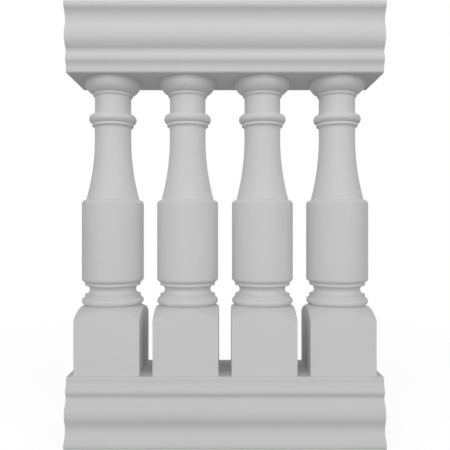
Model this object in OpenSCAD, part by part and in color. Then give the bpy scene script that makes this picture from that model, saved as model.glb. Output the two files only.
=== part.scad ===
// Moulded balustrade section: two hollow rails from one profile, four hollow balusters
// and the steel tie rods that clamp them. The floor is z = 0, the section runs along X
// and its middle stands on the origin.

/* [Section] */
// Distance between neighbouring baluster axes, one bay
bay = 164; // [150:1:240]
// Height of a baluster from its foot to its head
baluster_h = 628; // [590:1:760]
// Thickness of the moulded laminate
wall = 5; // [3.5:0.5:6]

/* [Rail moulding] */
// Height of either rail
rail_h = 143; // [141:1:160]
// Half depth of the rail at its lip
lip_p = 73.9; // [70:0.1:85]
// Width of the lip beside the closing board
lip_w = 5.2; // [5:0.1:7]
// Radius of the lip's rounded edge
lip_r = 5; // [1:0.1:5]
// How far the wide band stands out from the lip
band_p = 19.7; // [17:0.1:22]
// Section radius of the band
band_r = 11; // [9:0.5:13]
// Distance of the band's fullest line from the rail's wide side
band_level = 7; // [5:0.5:8]
// Radius of the rounded edges of the wide side
edge_r = 4; // [2:0.5:5]
// How far the large round stands out from the lip
round_p = 15; // [13:0.1:17]
// Section radius of the large round
round_r = 33.2; // [30:0.1:37]
// Height of the large round's fullest line
round_level = 74.9; // [73:0.1:78]
// Section radius of the cove that bridges the round and the band
cove_r = 30.8; // [27:0.1:34]
// How far the bead stands out from the lip
bead_p = 6.8; // [5.5:0.1:8]
// Section radius of the bead
bead_r = 11.5; // [10:0.1:13]
// Height of the bead's fullest line
bead_level = 29.3; // [27:0.1:31]
// Section radius of the hollow that bridges the bead and the round
hollow_r = 11.4; // [10:0.1:13]
// Section radius of the small cove that bridges the lip and the bead
small_cove_r = 24; // [20:0.5:28]

/* [Closing board] */
// Thickness of the board that closes a rail's narrow side
board_t = 8; // [6:0.5:12]
// Clearance between the board's long edges and the rail
board_gap = 0.2; // [0.1:0.05:0.4]
// Width of the bonding flange that the board meets
flange_w = 5; // [3:0.5:8]
// Height of the bonding flange
flange_h = 8; // [6:0.5:12]

/* [Baluster foot] */
// Side of the square foot
foot_w = 136.6; // [124:0.1:142]
// Height of the foot's corners, where the dome starts
foot_corner_h = 115.9; // [100:0.1:130]
// Radius of the dome over the foot
dome_r = 143; // [135:1:170]

/* [Baluster base mouldings] */
// Radius of the stem at its listels
stem_r = 59.9; // [56:0.1:66]
// Height of the quirk between the dome and the torus
quirk_h = 1.4; // [1:0.1:3]
// How far the torus stands out from the stem
torus_p = 6.6; // [4.5:0.1:8.4]
// Section radius of the torus
torus_r = 7.9; // [7.5:0.1:10]
// Height of the listel over and under the scotia
listel_h = 6.5; // [4:0.1:8]
// Section radius of the scotia
scotia_r = 9.9; // [8:0.1:11]

/* [Baluster belly and shaft] */
// How far the belly stands out from the stem
belly_p = 6.8; // [5:0.1:9]
// Height of the belly
belly_h = 178.2; // [150:0.1:200]
// Radius of the belly's rounded edges
belly_edge_r = 8.5; // [5:0.5:9]
// How far the shaft's flared foot stands back from the belly
shoulder_p = 9.4; // [7:0.1:13]
// Radius of the neck, and of the shaft at its waist
neck_r = 39.1; // [36:0.05:42]
// Distance of the waist under the collar
waist_drop = 19.8; // [8:0.1:30]

/* [Baluster collar and bell] */
// Depth of the collar's centre under the baluster's head
collar_drop = 83.3; // [76:0.1:95]
// How far the collar stands out from the neck
collar_p = 12.05; // [9:0.05:14]
// Section radius of the collar
collar_r = 10.5; // [9.5:0.1:12]
// How far the fillet under the collar stands out from the neck
collar_fillet_p = 5.6; // [5.1:0.05:7]
// Height of the fillet under the collar
collar_fillet_h = 5.7; // [4:0.1:7]
// Section radius of the hollow under the collar's fillet
collar_hollow_r = 4.9; // [2:0.1:5]
// Height of the bell from its fillet to the baluster's head
bell_h = 29; // [26:0.1:30]
// How far the bell's rim stands out from the ovolo
rim_p = 0.6; // [0.3:0.1:5]
// Height of the bell's rim
rim_h = 5; // [3:0.1:8]
// How far the bell's ovolo stands out from the fillet under it
ovolo_p = 18.5; // [16:0.1:20]
// Section radius of the ovolo
ovolo_r = 29.5; // [29:0.1:33]
// Depth of the ovolo's centre under the baluster's head
ovolo_drop = 1; // [0:0.1:2]
// How far the fillet under the bell stands out from the neck
bell_fillet_p = 3.55; // [3.5:0.05:5]
// Height of the fillet under the bell
bell_fillet_h = 3.8; // [3:0.1:6]
// Section radius of the hollow under the bell's fillet
bell_hollow_r = 3.1; // [1:0.1:3.4]

/* [Tie rod] */
// Diameter of the rod
rod_d = 12; // [8:1:16]
// Clearance round the rod in the boards and washers
rod_clearance = 1; // [0.5:0.1:2]
// Clearance round the rod in a nut
thread_clearance = 0.15; // [0.1:0.05:0.3]
// Length of rod past each nut
rod_end = 10; // [4:0.5:16]
// Chamfer on each end of the rod
rod_chamfer = 1.2; // [0.5:0.1:2]
// Outside diameter of a washer
washer_d = 37; // [30:1:50]
// Thickness of a washer
washer_t = 3; // [2:0.5:5]
// Width of a nut across its flats
nut_af = 19; // [18:0.5:28]
// Height of a nut
nut_h = 10; // [6:0.5:14]
// Rise of the chamfer on a nut's corners
nut_chamfer = 1.2; // [0.6:0.1:2]

/* [Hidden] */
$fn = 96;
gelcoat = "#c4c4c4";
zinc = "#a7abb0";

baluster_count = 4;
numbers = [1:baluster_count];

// How far shapes run past each other where they join or cut
lap = 3;
// How far a hollow cuts into the round beside it, so that the two meet in a clean line
bite = 0.06;

rail_l = baluster_count * bay;
foot_z = rail_h;
head_z = foot_z + baluster_h;

// Rail section, from the narrow side (level 0) to the wide side (level rail_h): a hollow touches
// the rounds on either side of it, so its centre is fixed by the three radii
band_c = [lip_p + band_p - band_r, rail_h - band_level];
edge_level = rail_h - edge_r;
edge_c = [
    band_c[0] + sqrt(pow(band_r - edge_r + bite, 2) - pow(edge_level - band_c[1], 2)),
    edge_level
];
round_c = [lip_p + round_p - round_r, round_level];
bead_c = [lip_p + bead_p - bead_r, bead_level];
cove_c = bridge(round_c, round_r + cove_r - bite, band_c, band_r + cove_r - bite);
hollow_c = bridge(bead_c, bead_r + hollow_r - bite, round_c, round_r + hollow_r - bite);
small_cove_out = lip_p + small_cove_r - bite;
small_cove_c = [
    small_cove_out,
    bead_c[1] - sqrt(pow(bead_r + small_cove_r - bite, 2) - pow(small_cove_out - bead_c[0], 2))
];
lip_c = lip_p - lip_r;
rail_reach = lip_p + band_p + lap;
rebate_p = lip_p - lip_w;
board_w = 2 * (rebate_p - board_gap);

// Baluster levels from its foot
dome_c = foot_corner_h - sqrt(pow(dome_r, 2) - pow(foot_w, 2) / 2);
stem_z = dome_c + sqrt(pow(dome_r, 2) - pow(stem_r, 2));
torus_c = stem_r + torus_p - torus_r;
torus_half = sqrt(pow(torus_r, 2) - pow(stem_r - torus_c, 2));
torus_z = stem_z + quirk_h + torus_half;
scotia_z = torus_z + torus_half + listel_h + scotia_r;
belly_z = scotia_z + scotia_r + listel_h;
belly_r = stem_r + belly_p;
shoulder_r = belly_r - shoulder_p;
shoulder_z = belly_z + belly_h;

// Baluster levels from its head
bell_fillet_r = neck_r + bell_fillet_p;
rim_r = bell_fillet_r + ovolo_p + rim_p;
bell_z = baluster_h - bell_h;
rim_z = baluster_h - rim_h;
ovolo_z = baluster_h - ovolo_drop;
ovolo_c = bell_fillet_r + ovolo_p - ovolo_r;
bell_hollow_z = bell_z - bell_fillet_h - bell_hollow_r;
collar_z = baluster_h - collar_drop;
collar_fillet_r = neck_r + collar_fillet_p;
collar_c = neck_r + collar_p - collar_r;
collar_half = sqrt(pow(collar_r, 2) - pow(collar_fillet_r - collar_c, 2));
collar_hollow_z = collar_z - collar_half - collar_fillet_h - collar_hollow_r;
waist_z = collar_hollow_z - waist_drop;

// The shaft's flare is one arc from the waist to the shoulder
flare_rise = waist_z - shoulder_z;
flare_out = shoulder_r - neck_r;
flare_r = (pow(flare_rise, 2) + pow(flare_out, 2)) / (2 * flare_out);

// Tie rod levels
washer_bottom_z = foot_z - board_t - washer_t;
nut_bottom_z = washer_bottom_z - nut_h;
washer_top_z = head_z + board_t;
nut_top_z = washer_top_z + washer_t;
rod_bottom_z = nut_bottom_z - rod_end;
rod_top_z = nut_top_z + nut_h + rod_end;

function axis_x(i) = (i - (baluster_count + 1) / 2) * bay;

// The outer point that lies at one distance from a lower centre and another from an upper centre
function bridge(low, low_r, high, high_r) =
    let (
        gap = norm(high - low),
        along = (high - low) / gap,
        share = (pow(low_r, 2) - pow(high_r, 2) + pow(gap, 2)) / (2 * gap)
    )
    low + share * along + sqrt(pow(low_r, 2) - pow(share, 2)) * [along[1], -along[0]];

// The point of a round that a hollow touches
function touch(centre, radius, hollow_centre) =
    centre + radius * (hollow_centre - centre) / norm(hollow_centre - centre);

// A rectangle from its near corner to its far corner
module span(near, far) {
    translate(near)
        square(far - near);
}

module disc(centre, radius) {
    translate(centre)
        circle(radius);
}

module both_halves() {
    children();
    mirror([1, 0])
        children();
}

// Right half of the rail's section over its lip, drawn in by an even inset, up to a top level
module rail_half(inset, top) {
    band_end = touch(band_c, band_r - inset, cove_c);
    round_top = touch(round_c, round_r - inset, cove_c);
    round_end = touch(round_c, round_r - inset, hollow_c);
    bead_top = touch(bead_c, bead_r - inset, hollow_c);
    bead_end = touch(bead_c, bead_r - inset, small_cove_c);
    intersection() {
        span([0, 0], [rail_reach, top]);
        difference() {
            union() {
                span([0, lip_r], [lip_p - inset, rail_h]);
                span([0, small_cove_c[1]], [bead_end[0] + lap, bead_end[1]]);
                disc(bead_c, bead_r - inset);
                span([0, bead_top[1]], [max(bead_top[0], round_end[0]) + lap, round_end[1]]);
                disc(round_c, round_r - inset);
                span([0, round_top[1]], [max(round_top[0], band_end[0]) + lap, band_end[1]]);
                span([0, cove_c[1]], [band_c[0], rail_h]);
                disc(band_c, band_r - inset);
            }
            disc(cove_c, cove_r + inset);
            disc(hollow_c, hollow_r + inset);
            disc(small_cove_c, small_cove_r + inset);
        }
    }
}

// Wide side of the rail's section, with its rounded edges
module rail_crown() {
    span([-edge_c[0], edge_level - lap], [edge_c[0], rail_h]);
    for (side = [-1, 1])
        disc([side * edge_c[0], edge_level], edge_r);
}

// Narrow side of the rail's section, with the lips' rounded edges
module rail_lips() {
    span([-lip_c, 0], [lip_c, lip_r + lap]);
    for (side = [-1, 1])
        disc([side * lip_c, lip_r], lip_r);
}

// The rail's hollow: the board's rebate, the throat between the flanges and the room past them
module rail_hollow() {
    throat_p = rebate_p - flange_w;
    throat_top = board_t + flange_h;
    span([-rebate_p, -lap], [rebate_p, board_t]);
    span([-throat_p, 0], [throat_p, throat_top + lap]);
    intersection() {
        both_halves() rail_half(wall, rail_h - wall);
        span([-rail_reach, throat_top], [rail_reach, rail_h]);
    }
}

// A section drawn as depth and height, run along X
module run_along(length) {
    rotate([90, 0, 90])
        linear_extrude(length, center = true)
            children();
}

module rail() {
    difference() {
        run_along(rail_l) {
            both_halves() rail_half(0, touch(band_c, band_r, edge_c)[1]);
            rail_crown();
            rail_lips();
        }
        run_along(rail_l + 2 * lap)
            rail_hollow();
    }
}

// Board drilled for the tie rods, lying on level 0
module closing_board() {
    difference() {
        translate([-rail_l / 2, -board_w / 2, 0])
            cube([rail_l, board_w, board_t]);
        for (i = numbers)
            translate([axis_x(i), 0, -lap])
                cylinder(d = rod_d + 2 * rod_clearance, h = board_t + 2 * lap);
    }
}

// Radius and height outline of everything that is turned
module turned_outline() {
    difference() {
        span([0, stem_z - 2 * lap], [stem_r, belly_z + lap]);
        disc([stem_r, scotia_z], scotia_r);
    }
    disc([torus_c, torus_z], torus_r);
    belly_outline();
    difference() {
        span([0, shoulder_z - lap], [shoulder_r + lap, collar_hollow_z + lap]);
        disc([neck_r + flare_r, waist_z], flare_r);
    }
    span([0, collar_hollow_z + lap / 2], [neck_r, bell_hollow_z + lap / 2]);
    disc([collar_c, collar_z], collar_r);
    difference() {
        span([0, collar_hollow_z], [collar_fillet_r, collar_z]);
        disc([collar_fillet_r, collar_hollow_z], collar_hollow_r);
    }
    difference() {
        span([0, bell_hollow_z], [bell_fillet_r, bell_z + lap]);
        disc([bell_fillet_r, bell_hollow_z], bell_hollow_r);
    }
    intersection() {
        disc([ovolo_c, ovolo_z], ovolo_r);
        span([0, bell_z], [rim_r, rim_z + lap / 2]);
    }
    span([0, rim_z], [rim_r, baluster_h]);
}

module belly_outline() {
    edge_c = belly_r - belly_edge_r;
    span([0, belly_z], [edge_c, shoulder_z]);
    span([0, belly_z + belly_edge_r], [belly_r, shoulder_z - belly_edge_r]);
    disc([edge_c, belly_z + belly_edge_r], belly_edge_r);
    disc([edge_c, shoulder_z - belly_edge_r], belly_edge_r);
}

// Radius and height outline of the hollow inside the turned part
module hollow_outline() {
    base_r = stem_r - scotia_r - wall;
    span([0, stem_z - 4 * wall], [base_r, belly_z + wall + lap]);
    span([0, belly_z + wall], [belly_r - wall, shoulder_z - wall]);
    difference() {
        span([0, shoulder_z - wall - lap], [shoulder_r, waist_z]);
        disc([neck_r + flare_r, waist_z], flare_r + wall);
    }
    span([0, waist_z - lap], [neck_r - wall, bell_z + wall + lap]);
    span([0, bell_z + wall], [ovolo_c, baluster_h + lap]);
    intersection() {
        disc([ovolo_c, ovolo_z], ovolo_r - wall);
        span([0, bell_z + wall], [rim_r, baluster_h + lap]);
    }
}

// Square foot under a dome, drawn in by an even inset and run on below by a depth
module domed_foot(inset = 0, depth = 0) {
    side = foot_w - 2 * inset;
    intersection() {
        translate([-side / 2, -side / 2, -depth])
            cube([side, side, dome_c + dome_r + depth]);
        translate([0, 0, dome_c])
            sphere(dome_r - inset);
    }
}

module baluster(i) {
    color(gelcoat)
        translate([axis_x(i), 0, foot_z])
            difference() {
                union() {
                    domed_foot();
                    rotate_extrude() turned_outline();
                }
                domed_foot(wall, lap);
                rotate_extrude() hollow_outline();
            }
}

module top_rail() {
    color(gelcoat)
        translate([0, 0, head_z])
            rail();
}

module bottom_rail() {
    color(gelcoat)
        translate([0, 0, foot_z])
            mirror([0, 0, 1])
                rail();
}

module top_rail_soffit() {
    color(gelcoat)
        translate([0, 0, head_z])
            closing_board();
}

module bottom_rail_seat() {
    color(gelcoat)
        translate([0, 0, foot_z - board_t])
            closing_board();
}

module tie_rod(i) {
    length = rod_top_z - rod_bottom_z;
    tip_r = rod_d / 2 - rod_chamfer;
    color(zinc)
        translate([axis_x(i), 0, rod_bottom_z])
            rotate_extrude()
                polygon([
                    [0, 0], [tip_r, 0], [rod_d / 2, rod_chamfer],
                    [rod_d / 2, length - rod_chamfer], [tip_r, length], [0, length]
                ]);
}

module washer(i, level) {
    color(zinc)
        translate([axis_x(i), 0, level])
            difference() {
                cylinder(d = washer_d, h = washer_t);
                translate([0, 0, -lap])
                    cylinder(d = rod_d + 2 * rod_clearance, h = washer_t + 2 * lap);
            }
}

// Hexagon nut with its corners chamfered at both ends
module nut(i, level) {
    corner_r = nut_af / sqrt(3);
    face_r = nut_af / 2;
    outer_r = corner_r + nut_chamfer;
    rise = nut_chamfer * (outer_r - face_r) / (corner_r - face_r);
    color(zinc)
        translate([axis_x(i), 0, level])
            difference() {
                intersection() {
                    cylinder(r = corner_r, h = nut_h, $fn = 6);
                    rotate_extrude()
                        polygon([
                            [0, 0], [face_r, 0], [outer_r, rise],
                            [outer_r, nut_h - rise], [face_r, nut_h], [0, nut_h]
                        ]);
                }
                translate([0, 0, -lap])
                    cylinder(d = rod_d + 2 * thread_clearance, h = nut_h + 2 * lap);
            }
}

top_rail();
top_rail_soffit();
bottom_rail();
bottom_rail_seat();
for (i = numbers) {
    baluster(i);
    tie_rod(i);
    washer(i, washer_top_z);
    nut(i, nut_top_z);
    washer(i, washer_bottom_z);
    nut(i, nut_bottom_z);
}
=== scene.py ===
"""Finishes, joints and studio for a straight section of moulded fiberglass balustrade."""

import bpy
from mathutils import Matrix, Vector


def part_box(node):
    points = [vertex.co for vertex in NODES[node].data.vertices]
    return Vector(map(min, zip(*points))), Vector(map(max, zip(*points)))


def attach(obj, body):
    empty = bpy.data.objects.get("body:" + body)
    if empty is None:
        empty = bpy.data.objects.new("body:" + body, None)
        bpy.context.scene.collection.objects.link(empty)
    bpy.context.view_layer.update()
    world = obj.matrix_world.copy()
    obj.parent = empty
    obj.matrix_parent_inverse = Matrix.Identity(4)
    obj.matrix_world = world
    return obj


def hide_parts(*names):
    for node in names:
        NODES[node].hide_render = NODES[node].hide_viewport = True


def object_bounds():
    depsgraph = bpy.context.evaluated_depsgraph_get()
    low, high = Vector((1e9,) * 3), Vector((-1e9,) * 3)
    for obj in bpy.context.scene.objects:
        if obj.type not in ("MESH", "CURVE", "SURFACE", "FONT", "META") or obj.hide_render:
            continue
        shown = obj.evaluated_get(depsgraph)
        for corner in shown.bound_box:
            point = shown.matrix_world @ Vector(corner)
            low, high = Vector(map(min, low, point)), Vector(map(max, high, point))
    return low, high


bl_info = {
    "name": "Moulded Balustrade Finishes",
    "version": (1, 0, 0),
    "blender": (4, 5, 0),
    "location": "3D View > Sidebar > Balustrade",
    "description": "Gel coat, raw laminate, tie rods, sealant and studio for a balustrade section",
    "category": "Object",
}

import math
from collections import namedtuple

import bmesh
import bpy
from bpy.props import FloatProperty, FloatVectorProperty, PointerProperty
from bpy.types import NodeSocket, Operator, Panel, PropertyGroup
from mathutils import Vector, noise

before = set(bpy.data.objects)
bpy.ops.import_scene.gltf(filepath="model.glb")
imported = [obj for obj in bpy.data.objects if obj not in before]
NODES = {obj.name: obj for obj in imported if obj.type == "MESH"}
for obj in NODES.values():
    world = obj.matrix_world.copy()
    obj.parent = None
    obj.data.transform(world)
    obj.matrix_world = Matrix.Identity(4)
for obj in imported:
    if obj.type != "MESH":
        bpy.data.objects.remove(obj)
CAD_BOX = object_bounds()

# The section's own parts, and its levels in metres
BODY = "root"
UP = Vector((0, 0, 1))
MIDDLE_Z = (CAD_BOX[0].z + CAD_BOX[1].z) / 2
HALF_HEIGHT = (CAD_BOX[1].z - CAD_BOX[0].z) / 2

# How near points count as level, and how far in from an edge a face is measured, in metres
SAME_LEVEL = 1e-5
CLEAR_OF_EDGE = 1e-4

# How finely the made pieces are divided, and the angle from which their edges stay sharp
ROD_SIDES = 36
ROD_RINGS_PER_PITCH = 8
HEAD_BEAD_RINGS = 120
FOOT_BEAD_RINGS_PER_SIDE = 40
FOOT_BEAD_STEPS_PER_CORNER = 6
BEAD_FACE_STEPS = 5
PASTE_RINGS = 180
SHARP_EDGE = math.radians(50)

# Flat root and both flanks of the tie rods' thread, as shares of the pitch
THREAD_ROOT = 0.25
THREAD_FLANKS = 0.625

# Waves of a hand-run bead to the metre, and the seeds that set beads apart
REACH_WAVES = 90
RISE_WAVES = 70
RISE_SEED = 9
PASTE_SEED = 3
SEED_SKEW = 0.7

# Lamps and floor, in metres
Lamp = namedtuple("Lamp", "place size")
KEY_PANEL = Lamp(place=Vector((0, -2.0, 1.3)), size=2.0)
TOP_SOFTBOX = Lamp(place=Vector((0, -1.3, 2.1)), size=1.6)
FLOOR_HALF_WIDTH = 15.0

# Share of the floor's reach at which it begins to fade, and the camera's sensor in millimetres
FLOOR_FADE_START = 0.25
SENSOR_WIDTH = 36

# Plain colours, kinds of shader socket, and what a finish is made of
WHITE = (1.0, 1.0, 1.0, 1.0)
BLACK = (0.0, 0.0, 0.0, 1.0)
VALUE = "NodeSocketFloat"
COLOUR = "NodeSocketColor"
VECTOR = "NodeSocketVector"
Finish = namedtuple("Finish", "colour roughness height")

# Which of a Mix node's sockets take the mask and both sides, and which gives the mixture
MixSockets = namedtuple("MixSockets", "taken given")
MIX_SOCKETS = {
    "FLOAT": MixSockets(taken=(0, 2, 3), given=0),
    "RGBA": MixSockets(taken=(0, 6, 7), given=2),
}


# Sizes and colours that can be set

class GelcoatSettings(PropertyGroup):
    """The sprayed outer face of the mouldings."""

    rail_colour: FloatVectorProperty(
        name="Rail colour", description="Light grey of the gel coat on the rails and boards",
        subtype="COLOR", size=3, min=0, max=1, default=(0.65, 0.65, 0.65))
    # The balusters' grey is set paler than the rails' grey. This is painted light standing in for light
    # that the rails and neighbouring balusters keep off them, not a paler batch of gel coat.
    baluster_colour_with_painted_light: FloatVectorProperty(
        name="Baluster colour", description="Light grey of the paler batch on the balusters",
        subtype="COLOR", size=3, min=0, max=1, default=(0.685, 0.685, 0.685))
    roughness: FloatProperty(
        name="Roughness", description="How matt the gel coat is",
        subtype="FACTOR", min=0, max=1, default=0.62)
    specular: FloatProperty(
        name="Specular", description="Strength of the gel coat's plain reflection",
        subtype="FACTOR", min=0, max=1, default=0.22)
    mottle: FloatProperty(
        name="Mottle", description="Share by which the grey drifts over a moulding",
        subtype="FACTOR", min=0, max=0.3, default=0.04)
    peel: FloatProperty(
        name="Orange peel", description="Height of the fine ripple that spraying leaves",
        subtype="DISTANCE", min=0, max=0.001, default=0.00002)
    pits: FloatProperty(
        name="Pits", description="Depth of the scattered pinholes",
        subtype="DISTANCE", min=0, max=0.001, default=0.00015)
    arris: FloatProperty(
        name="Arris", description="Radius by which the mould softens an edge",
        subtype="DISTANCE", min=0, max=0.005, default=0.001)
    wear: FloatProperty(
        name="Wear", description="How much paler the rubbed edges are",
        subtype="FACTOR", min=0, max=1, default=0.12)
    wear_colour: FloatVectorProperty(
        name="Wear colour", description="Colour that a rubbed edge goes towards",
        subtype="COLOR", size=3, min=0, max=1, default=(0.85, 0.85, 0.84))
    dust: FloatProperty(
        name="Dust", description="How much dust lies on what faces up",
        subtype="FACTOR", min=0, max=1, default=0.1)
    dust_colour: FloatVectorProperty(
        name="Dust colour", description="Colour of the settled dust",
        subtype="COLOR", size=3, min=0, max=1, default=(0.55, 0.54, 0.51))
    dust_roughness: FloatProperty(
        name="Dust roughness", description="How much more matt the settled dust is",
        subtype="FACTOR", min=0, max=1, default=0.5)
    seam: FloatProperty(
        name="Mould seam", description="Height of the dressed seam along a baluster's sides",
        subtype="DISTANCE", min=0, max=0.001, default=0.0002)
    seam_width: FloatProperty(
        name="Seam width", description="Half width of the dressed seam",
        subtype="DISTANCE", min=0.0001, max=0.01, default=0.0011)
    seam_tint: FloatProperty(
        name="Seam tint", description="How much of its own colour the dressed seam shows",
        subtype="FACTOR", min=0, max=1, default=0.1)
    seam_colour: FloatVectorProperty(
        name="Seam colour", description="Colour of the dressed seam",
        subtype="COLOR", size=3, min=0, max=1, default=(0.7, 0.7, 0.7))
    seam_roughness: FloatProperty(
        name="Seam roughness", description="How much more matt the dressed seam is",
        subtype="FACTOR", min=0, max=1, default=0.12)


class LaminateSettings(PropertyGroup):
    """The raw inner face and the cut ends of the laminate."""

    resin: FloatVectorProperty(
        name="Resin", description="Colour of the cured resin",
        subtype="COLOR", size=3, min=0, max=1, default=(0.40, 0.41, 0.35))
    strand: FloatVectorProperty(
        name="Strand", description="Colour of the glass strands near the surface",
        subtype="COLOR", size=3, min=0, max=1, default=(0.60, 0.61, 0.55))
    strand_height: FloatProperty(
        name="Strand height", description="How far the strands stand proud",
        subtype="DISTANCE", min=0, max=0.002, default=0.00025)
    cut_scale: FloatProperty(
        name="Cut scale", description="How much finer the strands look where they are cut",
        min=1, max=20, default=6)


class FastenerSettings(PropertyGroup):
    """The tie rods, washers and nuts."""

    zinc: FloatVectorProperty(
        name="Zinc", description="Colour of the zinc plating",
        subtype="COLOR", size=3, min=0, max=1, default=(0.58, 0.60, 0.62))
    bloom: FloatVectorProperty(
        name="Bloom", description="Colour of the pale bloom on the plating",
        subtype="COLOR", size=3, min=0, max=1, default=(0.72, 0.72, 0.70))
    roughness: FloatProperty(
        name="Roughness", description="How dull the plating is",
        subtype="FACTOR", min=0, max=1, default=0.36)
    grain: FloatProperty(
        name="Grain", description="Height of the plating's fine grain",
        subtype="DISTANCE", min=0, max=0.001, default=0.00003)
    pitch: FloatProperty(
        name="Pitch", description="Pitch of the tie rods' thread",
        subtype="DISTANCE", min=0.0005, max=0.005, default=0.00175)
    depth: FloatProperty(
        name="Thread depth", description="Depth of the tie rods' thread",
        subtype="DISTANCE", min=0.0001, max=0.003, default=0.00107)
    length: FloatProperty(
        name="Thread length", description="Length of thread on each end of a tie rod",
        subtype="DISTANCE", min=0.01, max=0.2, default=0.038)
    chamfer: FloatProperty(
        name="Chamfer", description="Chamfer on each end of a tie rod",
        subtype="DISTANCE", min=0, max=0.005, default=0.0012)


class JointSettings(PropertyGroup):
    """Sealant round the balusters and bonding paste inside the rails."""

    bead: FloatProperty(
        name="Sealant bead", description="Leg of the sealant bead at a baluster's head and foot",
        subtype="DISTANCE", min=0.0005, max=0.01, default=0.0016)
    bead_wobble: FloatProperty(
        name="Bead wobble", description="Share by which the hand-run bead varies",
        subtype="FACTOR", min=0, max=0.9, default=0.18)
    sealant: FloatVectorProperty(
        name="Sealant colour", description="Colour of the sealant",
        subtype="COLOR", size=3, min=0, max=1, default=(0.62, 0.62, 0.61))
    sealant_grain: FloatProperty(
        name="Sealant grain", description="Height of the unevenness on the sealant",
        subtype="DISTANCE", min=0, max=0.001, default=0.00003)
    paste_leg: FloatProperty(
        name="Paste on the board", description="How far the bonding paste reaches over the board",
        subtype="DISTANCE", min=0.001, max=0.02, default=0.0075)
    paste_rise: FloatProperty(
        name="Paste on the flange", description="How far the bonding paste climbs the flange",
        subtype="DISTANCE", min=0.001, max=0.02, default=0.0055)
    paste_stop: FloatProperty(
        name="Paste stop", description="How far short of the rail's ends the bonding paste stops",
        subtype="DISTANCE", min=0, max=0.05, default=0.004)
    paste_wobble: FloatProperty(
        name="Paste wobble", description="Share by which the squeezed-out paste varies",
        subtype="FACTOR", min=0, max=0.9, default=0.4)
    paste: FloatVectorProperty(
        name="Paste colour", description="Colour of the bonding paste",
        subtype="COLOR", size=3, min=0, max=1, default=(0.50, 0.50, 0.46))
    paste_grain: FloatProperty(
        name="Paste grain", description="Height of the unevenness on the bonding paste",
        subtype="DISTANCE", min=0, max=0.001, default=0.00025)
    roughness: FloatProperty(
        name="Roughness", description="How matt the cured sealant and paste are",
        subtype="FACTOR", min=0, max=1, default=0.6)
    specular: FloatProperty(
        name="Specular", description="Strength of the sealant's and the paste's plain reflection",
        subtype="FACTOR", min=0, max=1, default=0.3)
    mottle: FloatProperty(
        name="Mottle", description="Share by which the sealant's and the paste's tone drifts",
        subtype="FACTOR", min=0, max=0.3, default=0.08)


class StudioSettings(PropertyGroup):
    """Camera, lights and floor."""

    lens: FloatProperty(
        name="Lens", description="Focal length on a 36 mm sensor",
        unit="CAMERA", min=10, max=200, default=42.8)
    camera_distance: FloatProperty(
        name="Camera distance", description="Distance of the camera from the balusters' axes",
        subtype="DISTANCE", min=0.2, max=10, default=1.177)
    camera_height: FloatProperty(
        name="Camera height", description="Height of the level camera above the floor",
        subtype="DISTANCE", min=0, max=5, default=MIDDLE_Z)
    key_power: FloatProperty(
        name="Key power", description="Power of the wide panel behind and above the camera",
        unit="POWER", min=0, max=1000, default=13.5)
    top_power: FloatProperty(
        name="Top power", description="Power of the softbox high above the camera",
        unit="POWER", min=0, max=1000, default=3.65)
    corner_light: FloatProperty(
        name="Corner light", description="Brightness of the room at its two front corners",
        min=0, max=3, default=1.53)
    back_light: FloatProperty(
        name="Back light", description="Brightness of the room behind the section",
        min=0, max=3, default=1.0)
    floor_colour: FloatVectorProperty(
        name="Floor colour", description="Pale floor as its light falls on the section",
        subtype="COLOR", size=3, min=0, max=1, default=(0.5, 0.5, 0.5))
    floor_glow: FloatProperty(
        name="Floor white", description="White of the floor before any light falls on it",
        subtype="FACTOR", min=0, max=1, default=0.88)
    floor_shade: FloatProperty(
        name="Floor shade", description="How much of its white the floor owes to the light",
        subtype="FACTOR", min=0, max=1, default=0.2)
    floor_gap: FloatProperty(
        name="Floor gap", description="Hair's breadth between the section and the floor",
        subtype="DISTANCE", min=0, max=0.001, default=0.0001)
    floor_reach: FloatProperty(
        name="Floor reach", description="Distance at which the floor has faded to plain white",
        subtype="DISTANCE", min=0.5, max=10, default=2.0)


class BalustradeSettings(PropertyGroup):
    """Everything that can be set on the section."""

    gelcoat: PointerProperty(type=GelcoatSettings)
    laminate: PointerProperty(type=LaminateSettings)
    fasteners: PointerProperty(type=FastenerSettings)
    joints: PointerProperty(type=JointSettings)
    studio: PointerProperty(type=StudioSettings)


# Shader tools

def feed(tree, socket, value):
    """Links a socket into another, or sets a plain value on it."""
    if isinstance(value, NodeSocket):
        tree.links.new(value, socket)
    else:
        socket.default_value = value


def add_node(tree, kind, inputs=None, **options):
    """Adds a shader node with its options set and its named inputs fed."""
    made = tree.nodes.new(kind)
    for name, value in options.items():
        setattr(made, name, value)
    for name, value in (inputs or {}).items():
        feed(tree, made.inputs[name], value)
    return made


def add_fed(tree, kind, *values, **options):
    """Adds a shader node with its options set and its first inputs fed in order."""
    made = add_node(tree, kind, **options)
    for socket, value in zip(made.inputs, values):
        feed(tree, socket, value)
    return made


def maths(tree, operation, *values, clamp=False):
    """One math node's result."""
    return add_fed(tree, "ShaderNodeMath", *values, operation=operation, use_clamp=clamp).outputs[0]


def vector_maths(tree, operation, *vectors):
    """One vector math node's results, a vector and a value."""
    return add_fed(tree, "ShaderNodeVectorMath", *vectors, operation=operation).outputs


def scaled(tree, vector, factor):
    """A vector or a colour times a factor."""
    made = add_fed(tree, "ShaderNodeVectorMath", vector, operation="SCALE")
    feed(tree, made.inputs["Scale"], factor)
    return made.outputs["Vector"]


def soft_step(tree, value, low, high, start=0.0, end=1.0):
    """Runs smoothly from start to end as the value goes from low to high."""
    made = add_node(tree, "ShaderNodeMapRange", interpolation_type="SMOOTHSTEP", inputs={
        "Value": value, "From Min": low, "From Max": high, "To Min": start, "To Max": end})
    return made.outputs["Result"]


def mixture(tree, data_type, *values):
    """One mix node's result from a mask and both sides."""
    made = add_node(tree, "ShaderNodeMix", data_type=data_type)
    sockets = MIX_SOCKETS[data_type]
    for place, value in zip(sockets.taken, values):
        feed(tree, made.inputs[place], value)
    return made.outputs[sockets.given]


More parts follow.
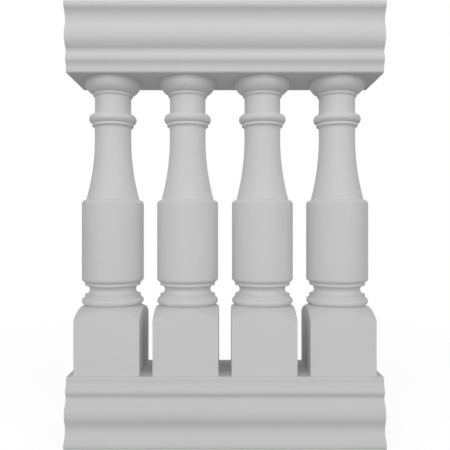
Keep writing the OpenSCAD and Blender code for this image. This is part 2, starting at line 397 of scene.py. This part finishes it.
def mix_value(tree, mask, first, second):
    """A value that goes from first to second by a mask."""
    return mixture(tree, "FLOAT", mask, first, second)


def mix_colour(tree, mask, first, second):
    """A colour that goes from first to second by a mask."""
    return mixture(tree, "RGBA", mask, first, second)


def split(tree, vector):
    """The three parts of a vector."""
    return add_fed(tree, "ShaderNodeSeparateXYZ", vector).outputs


def own_place(tree):
    """A point's place in its piece's own frame."""
    return add_node(tree, "ShaderNodeTexCoord").outputs["Object"]


def grain(tree, place, scale, detail=2.0, roughness=0.5):
    """Noise about zero, from about -0.5 to 0.5."""
    made = add_node(tree, "ShaderNodeTexNoise", inputs={
        "Vector": place, "Scale": scale, "Detail": detail, "Roughness": roughness})
    return maths(tree, "SUBTRACT", made.outputs["Fac"], 0.5)


def rgba(colour):
    """A settings colour with its alpha."""
    return (*colour, 1.0)


def new_group(name, inputs, outputs):
    """An empty shader group with named sockets: its tree, what it is given and what it gives."""
    tree = bpy.data.node_groups.new(name, "ShaderNodeTree")
    for label, kind in inputs:
        tree.interface.new_socket(name=label, in_out="INPUT", socket_type=kind)
    for label, kind in outputs:
        tree.interface.new_socket(name=label, in_out="OUTPUT", socket_type=kind)
    return tree, tree.nodes.new("NodeGroupInput").outputs, tree.nodes.new("NodeGroupOutput").inputs


def place_group(tree, builder, inputs=None):
    """Places a shared shader group in a material, building it the first time."""
    name = builder.__name__
    group = bpy.data.node_groups.get(name) or builder(name)
    return add_node(tree, "ShaderNodeGroup", node_tree=group, inputs=inputs)


# Shared effects

def moulded_skin(name):
    """A tone that drifts, a fine ripple and scattered pinholes, whose colour is darkened as painted
    shade.
    """
    drift_tone = 1.6
    cloud_tone = 0.8
    cloud_roughness = 0.16
    fine_share = 0.35
    pit_painted_shade = -0.22
    pit_roughness = 0.2
    cells_without_pit = 0.72
    tree, given, gives = new_group(
        name,
        (("Colour", COLOUR), ("Roughness", VALUE), ("Mottle", VALUE), ("Peel", VALUE), ("Pits", VALUE)),
        (("Colour", COLOUR), ("Roughness", VALUE), ("Height", VALUE)))
    piece = add_node(tree, "ShaderNodeObjectInfo").outputs["Random"]
    shift = add_node(tree, "ShaderNodeCombineXYZ", inputs={"X": piece, "Y": piece, "Z": piece})
    place = vector_maths(tree, "ADD", own_place(tree), shift.outputs[0])["Vector"]
    drift = grain(tree, place, scale=5, detail=3)
    cloud = grain(tree, place, scale=42, detail=5, roughness=0.6)
    ripple = grain(tree, place, scale=240)
    fine = grain(tree, place, scale=1100)

    cells = add_node(tree, "ShaderNodeTexVoronoi", inputs={"Vector": place, "Scale": 70.0})
    dot = soft_step(tree, cells.outputs["Distance"], low=0.012, high=0.032, start=1.0, end=0.0)
    chosen = maths(tree, "GREATER_THAN", split(tree, cells.outputs["Color"])[0], cells_without_pit)
    pit = maths(tree, "MULTIPLY", dot, chosen)

    sway = maths(tree, "MULTIPLY_ADD", drift, drift_tone, maths(tree, "MULTIPLY", cloud, cloud_tone))
    tone = maths(tree, "MULTIPLY_ADD", sway, given["Mottle"], 1.0)
    # Darkens the colour in the pinholes: painted shade inside the pits, on top of their sunk height.
    tone = maths(tree, "MULTIPLY", tone, maths(tree, "MULTIPLY_ADD", pit, pit_painted_shade, 1.0))
    feed(tree, gives["Colour"], scaled(tree, given["Colour"], tone))
    worn = maths(tree, "MULTIPLY_ADD", cloud, cloud_roughness, given["Roughness"])
    feed(tree, gives["Roughness"], maths(tree, "MULTIPLY_ADD", pit, pit_roughness, worn, clamp=True))
    waves = maths(tree, "MULTIPLY_ADD", fine, fine_share, ripple)
    sunk = maths(tree, "MULTIPLY", maths(tree, "MULTIPLY", pit, given["Pits"]), -1.0)
    feed(tree, gives["Height"], maths(tree, "MULTIPLY_ADD", waves, given["Peel"], sunk))
    return tree


def worn_arris(name):
    """A softened normal along the edges and a broken mask where they are rubbed."""
    tree, given, gives = new_group(name, (("Radius", VALUE),), (("Mask", VALUE), ("Normal", VECTOR)))
    soft = add_node(tree, "ShaderNodeBevel", samples=6, inputs={"Radius": given["Radius"]}).outputs[0]
    surface = add_node(tree, "ShaderNodeNewGeometry").outputs["Normal"]
    agreement = vector_maths(tree, "DOT_PRODUCT", soft, surface)["Value"]
    turned = soft_step(tree, agreement, low=0.995, high=0.85)
    rubbing = grain(tree, own_place(tree), scale=55, detail=4, roughness=0.65)
    broken = soft_step(tree, rubbing, low=-0.12, high=0.2)
    feed(tree, gives["Mask"], maths(tree, "MULTIPLY", turned, broken))
    feed(tree, gives["Normal"], soft)
    return tree


def settled_dust(name):
    """A patchy mask over what faces up."""
    tree, _, gives = new_group(name, (), (("Mask", VALUE),))
    rise = split(tree, add_node(tree, "ShaderNodeNewGeometry").outputs["Normal"])[2]
    faces_up = soft_step(tree, rise, low=0.45, high=0.95)
    drifts = grain(tree, own_place(tree), scale=24, detail=6, roughness=0.62)
    patches = soft_step(tree, drifts, low=-0.3, high=0.25, start=0.35)
    feed(tree, gives["Mask"], maths(tree, "MULTIPLY", faces_up, patches))
    return tree


def mould_seam(name):
    """A mask along the plane where the two half moulds met, rubbed away in places."""
    tree, given, gives = new_group(name, (("Width", VALUE),), (("Mask", VALUE),))
    place = own_place(tree)
    off = maths(tree, "DIVIDE", maths(tree, "ABSOLUTE", split(tree, place)[1]), given["Width"])
    line = soft_step(tree, off, low=0.25, high=1.0, start=1.0, end=0.0)
    rubbing = grain(tree, place, scale=18, detail=4, roughness=0.6)
    left = soft_step(tree, rubbing, low=-0.22, high=0.18, start=0.25)
    feed(tree, gives["Mask"], maths(tree, "MULTIPLY", line, left))
    return tree


def chopped_strands(name):
    """Short glass strands that cross under a skin of resin."""
    flat_turns = [(0, 0, math.radians(angle)) for angle in (12, 71, 128)]
    upright_turns = [(0, math.radians(angle), 0) for angle in (18, 79, 137)]
    drawn_out = (30, 1, 1)
    resin_roughness = 0.35
    strand_roughness = 0.25
    pool_swell = 1.5
    tree, given, gives = new_group(
        name,
        (("Resin", COLOUR), ("Strand", COLOUR), ("Proud", VALUE), ("Scale", VALUE)),
        (("Colour", COLOUR), ("Roughness", VALUE), ("Height", VALUE)))
    place = own_place(tree)
    sized = scaled(tree, place, given["Scale"])
    covered = None
    for turn in flat_turns + upright_turns:
        laid = add_node(tree, "ShaderNodeMapping", vector_type="TEXTURE",
                        inputs={"Vector": sized, "Rotation": turn, "Scale": drawn_out})
        streak = soft_step(tree, grain(tree, laid.outputs[0], scale=620, detail=1), low=0.06, high=0.16)
        covered = streak if covered is None else maths(tree, "MAXIMUM", covered, streak)
    pooled = grain(tree, place, scale=30, detail=4, roughness=0.6)
    shown = maths(tree, "MULTIPLY", covered, soft_step(tree, pooled, low=-0.3, high=0.2, start=0.35))
    feed(tree, gives["Colour"], mix_colour(tree, shown, given["Resin"], given["Strand"]))
    feed(tree, gives["Roughness"], maths(tree, "MULTIPLY_ADD", shown, strand_roughness, resin_roughness))
    swell = maths(tree, "MULTIPLY_ADD", pooled, pool_swell, shown)
    feed(tree, gives["Height"], maths(tree, "MULTIPLY", swell, given["Proud"]))
    return tree


def section_sides(name):
    """How far a face looks away from the middle height, in and along, and how far off it lies."""
    tree, _, gives = new_group(
        name, (), (("Away", VALUE), ("In", VALUE), ("Along", VALUE), ("Off middle", VALUE)))
    geometry = add_node(tree, "ShaderNodeNewGeometry").outputs
    x, y, z = split(tree, geometry["True Normal"])
    place = split(tree, geometry["Position"])
    off = maths(tree, "SUBTRACT", place[2], MIDDLE_Z)
    feed(tree, gives["Away"], maths(tree, "MULTIPLY", z, maths(tree, "SIGN", off)))
    outward = maths(tree, "MULTIPLY", y, maths(tree, "SIGN", place[1]))
    feed(tree, gives["In"], maths(tree, "MULTIPLY", outward, -1.0))
    feed(tree, gives["Along"], maths(tree, "ABSOLUTE", x))
    feed(tree, gives["Off middle"], maths(tree, "ABSOLUTE", off))
    return tree


def zinc_spangle(name):
    """A faint spangle, dull patches and a little bloom."""
    flake_tone = 0.1
    flake_roughness = 0.12
    bloom_roughness = 0.4
    tree, given, gives = new_group(
        name,
        (("Colour", COLOUR), ("Bloom", COLOUR), ("Roughness", VALUE), ("Grain", VALUE)),
        (("Colour", COLOUR), ("Roughness", VALUE), ("Height", VALUE)))
    place = own_place(tree)
    spangle = add_node(tree, "ShaderNodeTexVoronoi", inputs={"Vector": place, "Scale": 650.0})
    flake = maths(tree, "SUBTRACT", split(tree, spangle.outputs["Color"])[0], 0.5)
    patches = grain(tree, place, scale=160, detail=4, roughness=0.6)
    bloom = soft_step(tree, patches, low=0.1, high=0.28, end=0.6)
    plated = scaled(tree, given["Colour"], maths(tree, "MULTIPLY_ADD", flake, flake_tone, 1.0))
    feed(tree, gives["Colour"], mix_colour(tree, bloom, plated, given["Bloom"]))
    dull = maths(tree, "MULTIPLY_ADD", bloom, bloom_roughness, given["Roughness"])
    feed(tree, gives["Roughness"], maths(tree, "MULTIPLY_ADD", flake, flake_roughness, dull, clamp=True))
    fine = grain(tree, place, scale=1400, detail=3)
    feed(tree, gives["Height"], maths(tree, "MULTIPLY", fine, given["Grain"]))
    return tree


# Materials

def finish_of(group_node):
    """The finish that a placed group gives."""
    return Finish(*(group_node.outputs[name] for name in ("Colour", "Roughness", "Height")))


def layered(tree, mask, under, over):
    """One finish laid over another by a mask."""
    return Finish(mix_colour(tree, mask, under.colour, over.colour),
                  mix_value(tree, mask, under.roughness, over.roughness),
                  mix_value(tree, mask, under.height, over.height))


def new_material(name):
    """An empty node material and its tree."""
    material = bpy.data.materials.new(name)
    material.use_nodes = True
    material.node_tree.nodes.clear()
    return material, material.node_tree


def close_material(tree, finish, normal=None, metallic=0.0, specular=0.5):
    """Ends a material in one shader, with the finish's height as bump."""
    bump = add_node(tree, "ShaderNodeBump", inputs={
        "Height": finish.height, "Distance": 1.0, "Strength": 1.0})
    if normal is not None:
        feed(tree, bump.inputs["Normal"], normal)
    shader = add_node(tree, "ShaderNodeBsdfPrincipled", inputs={
        "Base Color": finish.colour, "Roughness": finish.roughness, "Normal": bump.outputs[0],
        "Metallic": metallic, "Specular IOR Level": specular})
    add_node(tree, "ShaderNodeOutputMaterial", inputs={"Surface": shader.outputs[0]})


def gelcoat_finish(tree, gelcoat, colour):
    """Gel coat with its dust and rubbed edges, and the normal that softens those edges."""
    skin = finish_of(place_group(tree, moulded_skin, {
        "Colour": rgba(colour), "Roughness": gelcoat.roughness, "Mottle": gelcoat.mottle,
        "Peel": gelcoat.peel, "Pits": gelcoat.pits}))
    arris = place_group(tree, worn_arris, {"Radius": gelcoat.arris}).outputs
    rubbed = maths(tree, "MULTIPLY", arris["Mask"], gelcoat.wear)
    worn = mix_colour(tree, rubbed, skin.colour, rgba(gelcoat.wear_colour))
    dusty = maths(tree, "MULTIPLY", place_group(tree, settled_dust).outputs["Mask"], gelcoat.dust)
    dusted = mix_colour(tree, dusty, worn, rgba(gelcoat.dust_colour))
    roughness = maths(tree, "MULTIPLY_ADD", dusty, gelcoat.dust_roughness, skin.roughness, clamp=True)
    return Finish(dusted, roughness, skin.height), arris["Normal"]


def raw_laminate(tree, laminate, scale=1.0):
    """Unpainted laminate, with its strands at a scale."""
    return finish_of(place_group(tree, chopped_strands, {
        "Resin": rgba(laminate.resin), "Strand": rgba(laminate.strand),
        "Proud": laminate.strand_height / scale, "Scale": scale}))


def close_laminate(tree, settings, side, body, normal):
    """Ends a laminate's material, with its strands end on where it is cut across."""
    least_along = 0.7
    cut = maths(tree, "GREATER_THAN", side["Along"], least_along)
    ends = raw_laminate(tree, settings.laminate, settings.laminate.cut_scale)
    close_material(tree, layered(tree, cut, body, ends), normal, specular=settings.gelcoat.specular)


def rail_material(settings):
    """Gel coat outside, raw laminate inside, and laminate cut across at the ends."""
    least_level = 0.9
    least_inward = 0.08
    material, tree = new_material("rail_laminate")
    outer, normal = gelcoat_finish(tree, settings.gelcoat, settings.gelcoat.rail_colour)
    side = place_group(tree, section_sides).outputs
    wall = rail_wall()
    crown = HALF_HEIGHT - wall / 2
    under_crown = maths(tree, "LESS_THAN", side["Off middle"], crown)
    looks_away = maths(tree, "GREATER_THAN", side["Away"], least_level)
    flange_top = maths(tree, "MULTIPLY", looks_away, under_crown)
    near_crown = maths(tree, "GREATER_THAN", side["Off middle"], crown - 2 * wall)
    looks_back = maths(tree, "LESS_THAN", side["Away"], -least_level)
    ceiling = maths(tree, "MULTIPLY", looks_back, near_crown)
    walls = maths(tree, "GREATER_THAN", side["In"], least_inward)
    inside = maths(tree, "MAXIMUM", walls, maths(tree, "MAXIMUM", flange_top, ceiling))
    body = layered(tree, inside, outer, raw_laminate(tree, settings.laminate))
    close_laminate(tree, settings, side, body, normal)
    return material


def board_material(settings):
    """Gel coat on the side that shows, raw laminate towards the rail's hollow."""
    least_away = 0.5
    material, tree = new_material("board_laminate")
    outer, normal = gelcoat_finish(tree, settings.gelcoat, settings.gelcoat.rail_colour)
    side = place_group(tree, section_sides).outputs
    hollow = maths(tree, "GREATER_THAN", side["Away"], least_away)
    body = layered(tree, hollow, outer, raw_laminate(tree, settings.laminate))
    close_laminate(tree, settings, side, body, normal)
    return material


def baluster_material(settings):
    """Gel coat in the paler grey that is painted light, with the dressed seam of a two-part mould."""
    material, tree = new_material("baluster_gelcoat")
    gelcoat = settings.gelcoat
    # The paler baluster grey is painted light, brightening the balusters against the rails.
    outer, normal = gelcoat_finish(tree, gelcoat, gelcoat.baluster_colour_with_painted_light)
    seam = place_group(tree, mould_seam, {"Width": gelcoat.seam_width}).outputs["Mask"]
    height = maths(tree, "MULTIPLY_ADD", seam, gelcoat.seam, outer.height)
    roughness = maths(tree, "MULTIPLY_ADD", seam, gelcoat.seam_roughness, outer.roughness, clamp=True)
    tinted = maths(tree, "MULTIPLY", seam, gelcoat.seam_tint)
    colour = mix_colour(tree, tinted, outer.colour, rgba(gelcoat.seam_colour))
    close_material(tree, Finish(colour, roughness, height), normal, specular=gelcoat.specular)
    return material


def zinc_material(fasteners):
    """Zinc-plated steel."""
    material, tree = new_material("zinc_plate")
    plate = place_group(tree, zinc_spangle, {
        "Colour": rgba(fasteners.zinc), "Bloom": rgba(fasteners.bloom),
        "Roughness": fasteners.roughness, "Grain": fasteners.grain})
    close_material(tree, finish_of(plate), metallic=1.0)
    return material


def filler_material(name, joints, colour, unevenness):
    """Cured sealant or paste, matt and a little uneven."""
    material, tree = new_material(name)
    skin = place_group(tree, moulded_skin, {
        "Colour": rgba(colour), "Roughness": joints.roughness, "Mottle": joints.mottle,
        "Peel": unevenness, "Pits": unevenness})
    close_material(tree, finish_of(skin), specular=joints.specular)
    return material


# Pieces

def nodes_named(*stems):
    """The section's own parts whose names are these words, numbered or not."""
    return [name for name in sorted(NODES) if name.rstrip("_0123456789") in stems]


def points_of(node):
    """The corner points of one of the section's own parts."""
    return [vertex.co for vertex in NODES[node].data.vertices]


def upright_axis(low, high, level):
    """The point at a level on the upright axis of a box."""
    return Vector(((low.x + high.x) / 2, (low.y + high.y) / 2, level))


def rail_wall():
    """Thickness of the rails' laminate, from the flat crown's outer and inner faces."""
    points = points_of("top_rail")
    top = max(point.z for point in points)
    crown_edge = min(abs(point.y) for point in points if point.z > top - SAME_LEVEL)
    return top - max(point.z for point in points if abs(point.y) < crown_edge - CLEAR_OF_EDGE)


def dress(names, material):
    """Gives the section's own parts a material, and leaves their shapes alone."""
    for name in names:
        for slot in NODES[name].material_slots:
            slot.link = "OBJECT"
            slot.material = material


def lofted(name, rings, loop, material):
    """A closed mesh through rings of points, with its ends capped unless it runs round in a loop."""
    shape = bmesh.new()
    rows = [[shape.verts.new(point) for point in ring] for ring in rings]
    following_rows = rows[1:] + rows[:1] if loop else rows[1:]
    for near, far in zip(rows, following_rows):
        for place, corner in enumerate(near):
            following = (place + 1) % len(near)
            shape.faces.new((corner, near[following], far[following], far[place]))
    if not loop:
        shape.faces.new(rows[0])
        shape.faces.new(rows[-1])
    bmesh.ops.recalc_face_normals(shape, faces=shape.faces)
    mesh = bpy.data.meshes.new(name)
    shape.to_mesh(mesh)
    shape.free()
    mesh.shade_smooth()
    mesh.set_sharp_from_angle(angle=SHARP_EDGE)
    mesh.materials.append(material)
    piece = bpy.data.objects.new(name, mesh)
    bpy.context.scene.collection.objects.link(piece)
    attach(piece, BODY)
    return piece


def wobble_at(place, waves, seed):
    """Smooth noise at a point, from about -1 to 1, with so many waves to the metre."""
    return noise.noise(place * waves + Vector((seed, seed * SEED_SKEW, -seed)))


def bead_rings(path, up, section, legs, wobble, seed):
    """Rings of a hand-run bead: a section of (out, up) shares on a path of (point, outward)."""
    rings = []
    for point, outward in path:
        reach = legs[0] * (1 + wobble * wobble_at(point, REACH_WAVES, seed))
        rise = legs[1] * (1 + wobble * wobble_at(point, RISE_WAVES, seed + RISE_SEED))
        rings.append([point + outward * (reach * out) + up * (rise * above) for out, above in section])
    return rings


def hollow_section():
    """A tooled bead: two legs that meet in the corner and a hollow face between them."""
    angles = [math.pi / 2 * step / BEAD_FACE_STEPS for step in range(BEAD_FACE_STEPS + 1)]
    return [(0.0, 0.0)] + [(1 - math.sin(angle), 1 - math.cos(angle)) for angle in angles]


def squeezed_section():
    """Squeezed-out paste: a corner fillet with a full, slumped face."""
    return [(0.0, 0.0), (1.0, 0.0), (0.93, 0.16), (0.66, 0.36), (0.36, 0.55), (0.15, 0.82), (0.0, 1.0)]


def level_direction(angle):
    """The level direction at an angle round the upright axis."""
    return Vector((math.cos(angle), math.sin(angle), 0))


def round_path(centre, radius):
    """Points on a level circle with their outward directions."""
    path = []
    for step in range(HEAD_BEAD_RINGS):
        outward = level_direction(2 * math.pi * step / HEAD_BEAD_RINGS)
        path.append((centre + outward * radius, outward))
    return path


def square_path(centre, half):
    """Points round a level square with their outward directions, which fan out at the corners."""
    path = []
    last = FOOT_BEAD_RINGS_PER_SIDE - 1
    for side in range(4):
        angle = side * math.pi / 2
        outward = level_direction(angle)
        along = Vector((-outward.y, outward.x, 0))
        for step in range(FOOT_BEAD_RINGS_PER_SIDE):
            path.append((centre + outward * half + along * half * (2 * step / last - 1), outward))
        corner = centre + (outward + along) * half
        for step in range(1, FOOT_BEAD_STEPS_PER_CORNER):
            fan = angle + math.pi / 2 * step / FOOT_BEAD_STEPS_PER_CORNER
            path.append((corner, level_direction(fan)))
    return path


def straight_path(start, end, outward):
    """Points from start to end, with one outward direction."""
    last = PASTE_RINGS - 1
    return [(start + (end - start) * (step / last), outward) for step in range(PASTE_RINGS)]


def clamped(share):
    """A share kept from 0 to 1."""
    return min(max(share, 0.0), 1.0)


def rod_radius(fasteners, radius, length, along, turn):
    """Radius of a tie rod at a height and a turn: right-hand thread at both ends, chamfered tips."""
    from_end = min(along, length - along)
    phase = (along / fasteners.pitch - turn) % 1.0
    from_root = abs(phase - 0.5) * 2
    crest = clamped((from_root - THREAD_ROOT) / THREAD_FLANKS)
    fade = clamped((fasteners.length - from_end) / fasteners.pitch)
    cut = fasteners.depth * (1 - crest) * fade
    return min(radius - cut, radius - fasteners.chamfer + from_end)


def rod_levels(fasteners, length):
    """Heights along a tie rod, close together where it is threaded."""
    count = round(fasteners.length / fasteners.pitch * ROD_RINGS_PER_PITCH)
    end = [fasteners.length * step / count for step in range(count + 1)]
    return end + [length - level for level in reversed(end)]


def rod_rings(fasteners, foot, radius, length):
    """Rings of a tie rod from its foot up."""
    rings = []
    for along in rod_levels(fasteners, length):
        ring = []
        for side in range(ROD_SIDES):
            turn = side / ROD_SIDES
            reach = rod_radius(fasteners, radius, length, along, turn)
            ring.append(foot + UP * along + level_direction(2 * math.pi * turn) * reach)
        rings.append(ring)
    return rings


# Operators

class BALUSTRADE_OT_rails(Operator):
    """Finish both moulded rails, inside and out"""

    bl_idname = "balustrade.rails"
    bl_label = "Finish rails"

    def execute(self, context):
        dress(nodes_named("top_rail", "bottom_rail"), rail_material(context.scene.balustrade))
        return {"FINISHED"}


class BALUSTRADE_OT_boards(Operator):
    """Finish the boards that close the rails"""

    bl_idname = "balustrade.boards"
    bl_label = "Finish closing boards"

    def execute(self, context):
        boards = nodes_named("top_rail_soffit", "bottom_rail_seat")
        dress(boards, board_material(context.scene.balustrade))
        return {"FINISHED"}


class BALUSTRADE_OT_balusters(Operator):
    """Finish the balusters"""

    bl_idname = "balustrade.balusters"
    bl_label = "Finish balusters"

    def execute(self, context):
        dress(nodes_named("baluster"), baluster_material(context.scene.balustrade))
        return {"FINISHED"}


class BALUSTRADE_OT_fasteners(Operator):
    """Finish the washers and nuts"""

    bl_idname = "balustrade.fasteners"
    bl_label = "Finish washers and nuts"

    def execute(self, context):
        parts = nodes_named("top_washer", "bottom_washer", "top_nut", "bottom_nut")
        dress(parts, zinc_material(context.scene.balustrade.fasteners))
        return {"FINISHED"}


class BALUSTRADE_OT_tie_rods(Operator):
    """Make the tie rods with their threads, in the zinc of the washers and nuts"""

    bl_idname = "balustrade.tie_rods"
    bl_label = "Make tie rods"

    def execute(self, context):
        fasteners = context.scene.balustrade.fasteners
        plate = bpy.data.materials["zinc_plate"]
        for node in nodes_named("tie_rod"):
            low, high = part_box(node)
            foot = upright_axis(low, high, low.z)
            rings = rod_rings(fasteners, foot, (high.x - low.x) / 2, high.z - low.z)
            rod = lofted(node.replace("tie_rod", "threaded_rod"), rings, False, plate)
            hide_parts(node)
        return {"FINISHED"}


class BALUSTRADE_OT_sealant(Operator):
    """Run a bead of sealant round each baluster's head and foot"""

    bl_idname = "balustrade.sealant"
    bl_label = "Run sealant"

    def execute(self, context):
        joints = context.scene.balustrade.joints
        sealant = filler_material("sealant", joints, joints.sealant, joints.sealant_grain)
        legs = (joints.bead, joints.bead)
        for seed, node in enumerate(nodes_named("baluster"), 1):
            low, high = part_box(node)
            head_centre = upright_axis(low, high, high.z)
            top = [point - head_centre for point in points_of(node) if point.z > high.z - SAME_LEVEL]
            rim = max(math.hypot(point.x, point.y) for point in top)
            head = round_path(head_centre, rim)
            foot = square_path(upright_axis(low, high, low.z), (high.x - low.x) / 2)
            for part, path, rise in (("head", head, -UP), ("foot", foot, UP)):
                rings = bead_rings(path, rise, hollow_section(), legs, joints.bead_wobble, seed)
                lofted(f"{node}_{part}_sealant", rings, True, sealant)
        return {"FINISHED"}


class BALUSTRADE_OT_bonding_paste(Operator):
    """Squeeze bonding paste along the flanges inside the rails"""

    bl_idname = "balustrade.bonding_paste"
    bl_label = "Squeeze bonding paste"

    def execute(self, context):
        joints = context.scene.balustrade.joints
        paste = filler_material("bonding_paste", joints, joints.paste, joints.paste_grain)
        legs = (joints.paste_leg, joints.paste_rise)
        for rail, board in (("top_rail", "top_rail_soffit"), ("bottom_rail", "bottom_rail_seat")):
            low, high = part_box(board)
            face, rise = (high.z, UP) if low.z > MIDDLE_Z else (low.z, -UP)
            flange = min(abs(point.y) for point in points_of(rail) if abs(point.z - face) < SAME_LEVEL)
            for side, sign in (("front", -1), ("back", 1)):
                start = Vector((low.x + joints.paste_stop, sign * flange, face))
                end = Vector((high.x - joints.paste_stop, sign * flange, face))
                path = straight_path(start, end, Vector((0, -sign, 0)))
                seed = sign * PASTE_SEED + face
                rings = bead_rings(path, rise, squeezed_section(), legs, joints.paste_wobble, seed)
                lofted(f"{rail}_{side}_bonding_paste", rings, False, paste)
        return {"FINISHED"}


class BALUSTRADE_OT_studio(Operator):
    """Set up the camera, the soft lights and the pale floor"""

    bl_idname = "balustrade.studio"
    bl_label = "Set up studio"

    def execute(self, context):
        studio = context.scene.balustrade.studio
        context.scene.view_settings.view_transform = "Standard"
        self.camera(context.scene, studio)
        self.lights(context.scene, studio)
        self.world(context.scene, studio)
        self.floor(context.scene, studio)
        return {"FINISHED"}

    def camera(self, scene, studio):
        """Sets a level camera square on to the section."""
        data = bpy.data.cameras.new("camera")
        data.lens = studio.lens
        data.sensor_width = SENSOR_WIDTH
        camera = bpy.data.objects.new("camera", data)
        camera.location = (0, -studio.camera_distance, studio.camera_height)
        camera.rotation_euler = (math.pi / 2, 0, 0)
        scene.collection.objects.link(camera)
        scene.camera = camera

    def lights(self, scene, studio):
        """Hangs two wide lamps that look at the section's middle."""
        aim = Vector((0, 0, MIDDLE_Z))
        for name, lamp, power in (
                ("key_panel", KEY_PANEL, studio.key_power),
                ("top_softbox", TOP_SOFTBOX, studio.top_power)):
            data = bpy.data.lights.new(name, "AREA")
            data.energy = power
            data.size = lamp.size
            light = bpy.data.objects.new(name, data)
            light.location = lamp.place
            light.rotation_euler = (aim - lamp.place).to_track_quat("-Z", "Y").to_euler()
            scene.collection.objects.link(light)

    def seen_or_lit(self, tree, lit, seen):
        """One shader for the light that falls on the section, and one for what is seen or mirrored."""
        path = add_node(tree, "ShaderNodeLightPath").outputs
        mirrored = maths(tree, "MAXIMUM", path["Is Glossy Ray"], path["Is Transmission Ray"])
        mask = maths(tree, "MAXIMUM", path["Is Camera Ray"], mirrored)
        return add_fed(tree, "ShaderNodeMixShader", mask, lit, seen).outputs[0]

    def world(self, scene, studio):
        """Makes a white room that is lit from its front corners and from behind the section."""
        # What the two level parts of a direction towards a corner come to when multiplied
        corner_peak = 0.5
        world = bpy.data.worlds.new("room")
        scene.world = world
        world.use_nodes = True
        tree = world.node_tree
        tree.nodes.clear()
        across, depth, _ = split(tree, add_node(tree, "ShaderNodeTexCoord").outputs["Generated"])
        ahead = maths(tree, "MAXIMUM", maths(tree, "MULTIPLY", depth, -1.0), 0.0)
        corners = maths(tree, "MULTIPLY", maths(tree, "ABSOLUTE", across), ahead)
        behind = maths(tree, "MULTIPLY", maths(tree, "MAXIMUM", depth, 0.0), studio.back_light)
        glow = maths(tree, "MULTIPLY_ADD", corners, studio.corner_light / corner_peak, behind)
        room = add_node(tree, "ShaderNodeBackground", inputs={"Color": WHITE, "Strength": glow})
        plain = add_node(tree, "ShaderNodeBackground", inputs={"Color": WHITE, "Strength": 1.0})
        both = self.seen_or_lit(tree, room.outputs[0], plain.outputs[0])
        add_node(tree, "ShaderNodeOutputWorld", inputs={"Surface": both})

    def floor(self, scene, studio):
        """Lays a floor that keeps the section's shadow and fades to plain white."""
        level = CAD_BOX[0].z - studio.floor_gap
        corners = [(-1, -1), (1, -1), (1, 1), (-1, 1)]
        points = [(x * FLOOR_HALF_WIDTH, y * FLOOR_HALF_WIDTH, level) for x, y in corners]
        mesh = bpy.data.meshes.new("floor")
        mesh.from_pydata(points, [], [range(len(points))])
        floor = bpy.data.objects.new("floor", mesh)
        scene.collection.objects.link(floor)
        mesh.materials.append(self.floor_material(studio))

    def floor_material(self, studio):
        """White near the section apart from its shadow, and plain white further off."""
        material, tree = new_material("pale_floor")
        place = add_node(tree, "ShaderNodeNewGeometry").outputs["Position"]
        off = vector_maths(tree, "LENGTH", place)["Value"]
        fade_start = studio.floor_reach * FLOOR_FADE_START
        near = soft_step(tree, off, low=fade_start, high=studio.floor_reach, start=1.0, end=0.0)
        strength = mix_value(tree, near, 1.0, studio.floor_glow)
        shade = mix_colour(tree, near, BLACK, rgba([studio.floor_shade] * 3))
        glow = add_node(tree, "ShaderNodeEmission", inputs={"Color": WHITE, "Strength": strength})
        shadowed = add_node(tree, "ShaderNodeBsdfDiffuse", inputs={"Color": shade})
        seen = add_fed(tree, "ShaderNodeAddShader", glow.outputs[0], shadowed.outputs[0])
        pale = add_node(tree, "ShaderNodeBsdfDiffuse", inputs={"Color": rgba(studio.floor_colour)})
        both = self.seen_or_lit(tree, pale.outputs[0], seen.outputs[0])
        add_node(tree, "ShaderNodeOutputMaterial", inputs={"Surface": both})
        return material


class BALUSTRADE_PT_finishes(Panel):
    """Lists the section's finishes and the steps that make them"""

    bl_idname = "BALUSTRADE_PT_finishes"
    bl_label = "Balustrade finishes"
    bl_space_type = "VIEW_3D"
    bl_region_type = "UI"
    bl_category = "Balustrade"

    def draw(self, context):
        settings = context.scene.balustrade
        for group in settings.__annotations__:
            box = self.layout.box()
            box.label(text=group.capitalize())
            values = getattr(settings, group)
            for name in values.__annotations__:
                box.prop(values, name)
        for step in STEPS:
            self.layout.operator(step.bl_idname)


STEPS = (
    BALUSTRADE_OT_studio,
    BALUSTRADE_OT_rails,
    BALUSTRADE_OT_boards,
    BALUSTRADE_OT_balusters,
    BALUSTRADE_OT_fasteners,
    BALUSTRADE_OT_tie_rods,
    BALUSTRADE_OT_sealant,
    BALUSTRADE_OT_bonding_paste,
)
CLASSES = (
    GelcoatSettings,
    LaminateSettings,
    FastenerSettings,
    JointSettings,
    StudioSettings,
    BalustradeSettings,
    *STEPS,
    BALUSTRADE_PT_finishes,
)


def register():
    """Registers the settings, the steps and the panel."""
    for cls in CLASSES:
        bpy.utils.register_class(cls)
    bpy.types.Scene.balustrade = PointerProperty(type=BalustradeSettings)


def unregister():
    """Takes the settings, the steps and the panel away again."""
    del bpy.types.Scene.balustrade
    for cls in reversed(CLASSES):
        bpy.utils.unregister_class(cls)


def main():
    register()
    bpy.ops.balustrade.studio()
    bpy.ops.balustrade.rails()
    bpy.ops.balustrade.boards()
    bpy.ops.balustrade.balusters()
    bpy.ops.balustrade.fasteners()
    bpy.ops.balustrade.tie_rods()
    bpy.ops.balustrade.sealant()
    bpy.ops.balustrade.bonding_paste()


if __name__ == "__main__":
    main()
